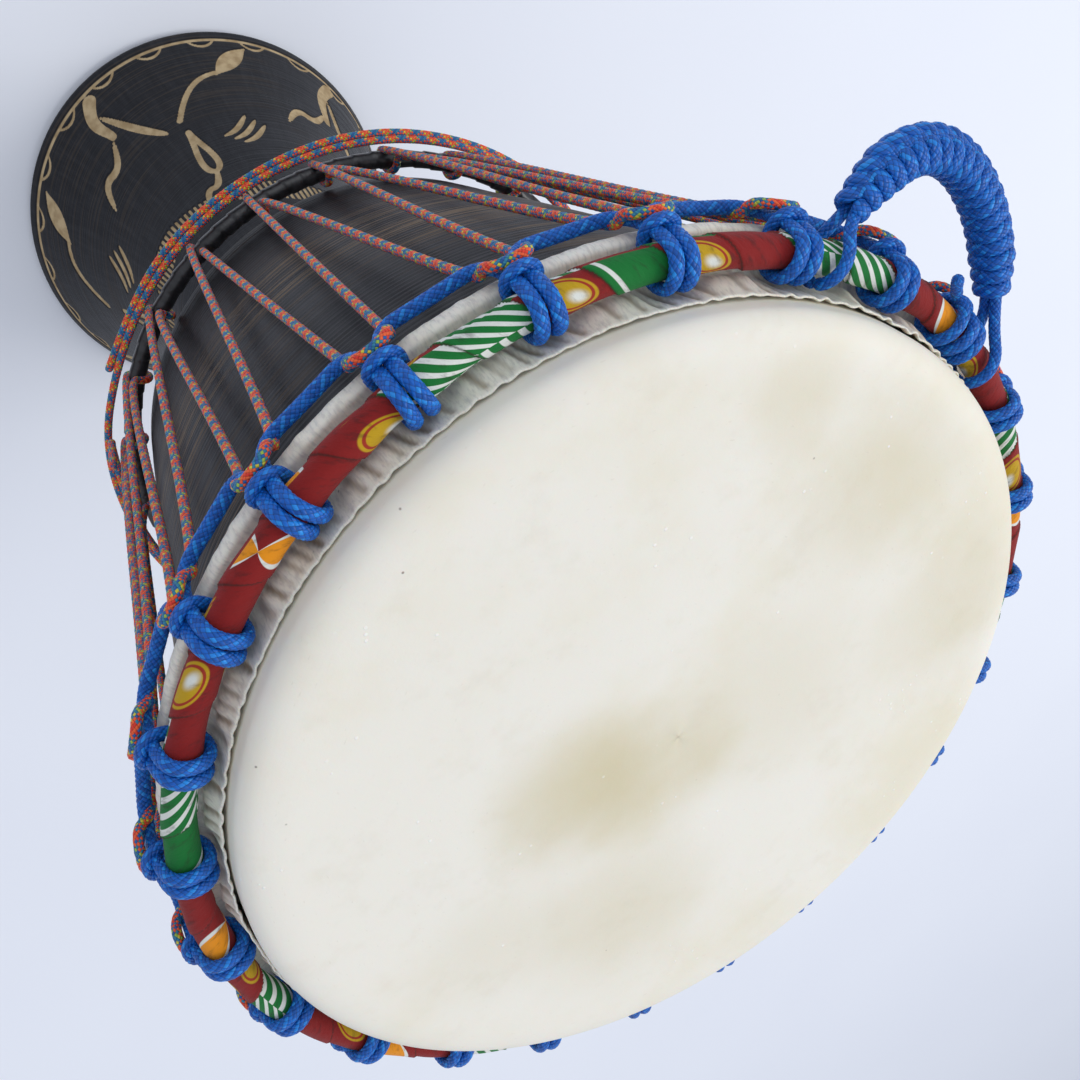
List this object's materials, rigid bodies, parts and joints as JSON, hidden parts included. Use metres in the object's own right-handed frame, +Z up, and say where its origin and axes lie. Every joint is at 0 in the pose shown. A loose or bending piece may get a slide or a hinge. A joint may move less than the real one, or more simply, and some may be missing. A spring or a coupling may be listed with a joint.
{
  "type": "goblet hand drum",
  "caption": "Goblet-shaped wooden hand drum with a goat-skin head tensioned by rope laced between rings, and a rope carrying handle.",
  "frame": {"origin": "centre of the foot's rim plane, where the drum stands on the floor", "axes": "+Z up the drum's axis to the playing head; the rope handle is on the -X side, a little towards -Y"},
  "size_m": [0.3935, 0.3732, 0.6133],
  "materials": {
    "stained_wood": "satin black stain over carved wood",
    "goat_skin": "natural rawhide, dry and slightly mottled",
    "steel_rod": "plain steel rod",
    "printed_cotton": "printed cotton strip in red, green and yellow",
    "black_cloth": "black cloth strip",
    "blue_rope": "tightly braided synthetic rope",
    "lacing_rope": "braided synthetic rope, coral with blue, green and yellow flecks"
  },
  "bodies": {
    "drum": {"shell": "stained_wood", "drum_head": "goat_skin", "flesh_hoop": "steel_rod", "crown_ring": "steel_rod", "bottom_ring": "steel_rod", "crown_wrap": "printed_cotton", "bottom_ring_wrap": "black_cloth", "upper_rope": "blue_rope", "upper_rope_tail": "blue_rope", "handle_lashing": "blue_rope", "tension_rope": "lacing_rope", "waist_winding": "lacing_rope"},
    "handle": {"handle_core": "blue_rope", "handle_hitching": "blue_rope"}
  },
  "joints": [
    {"name": "handle_swing", "type": "hinge", "parent": "drum", "child": "handle", "pos_m": [-0.15367, -0.06303, 0.5908], "axis": [-0.3795, 0.9252, 0], "range_deg": [-10, 90]}
  ]
}
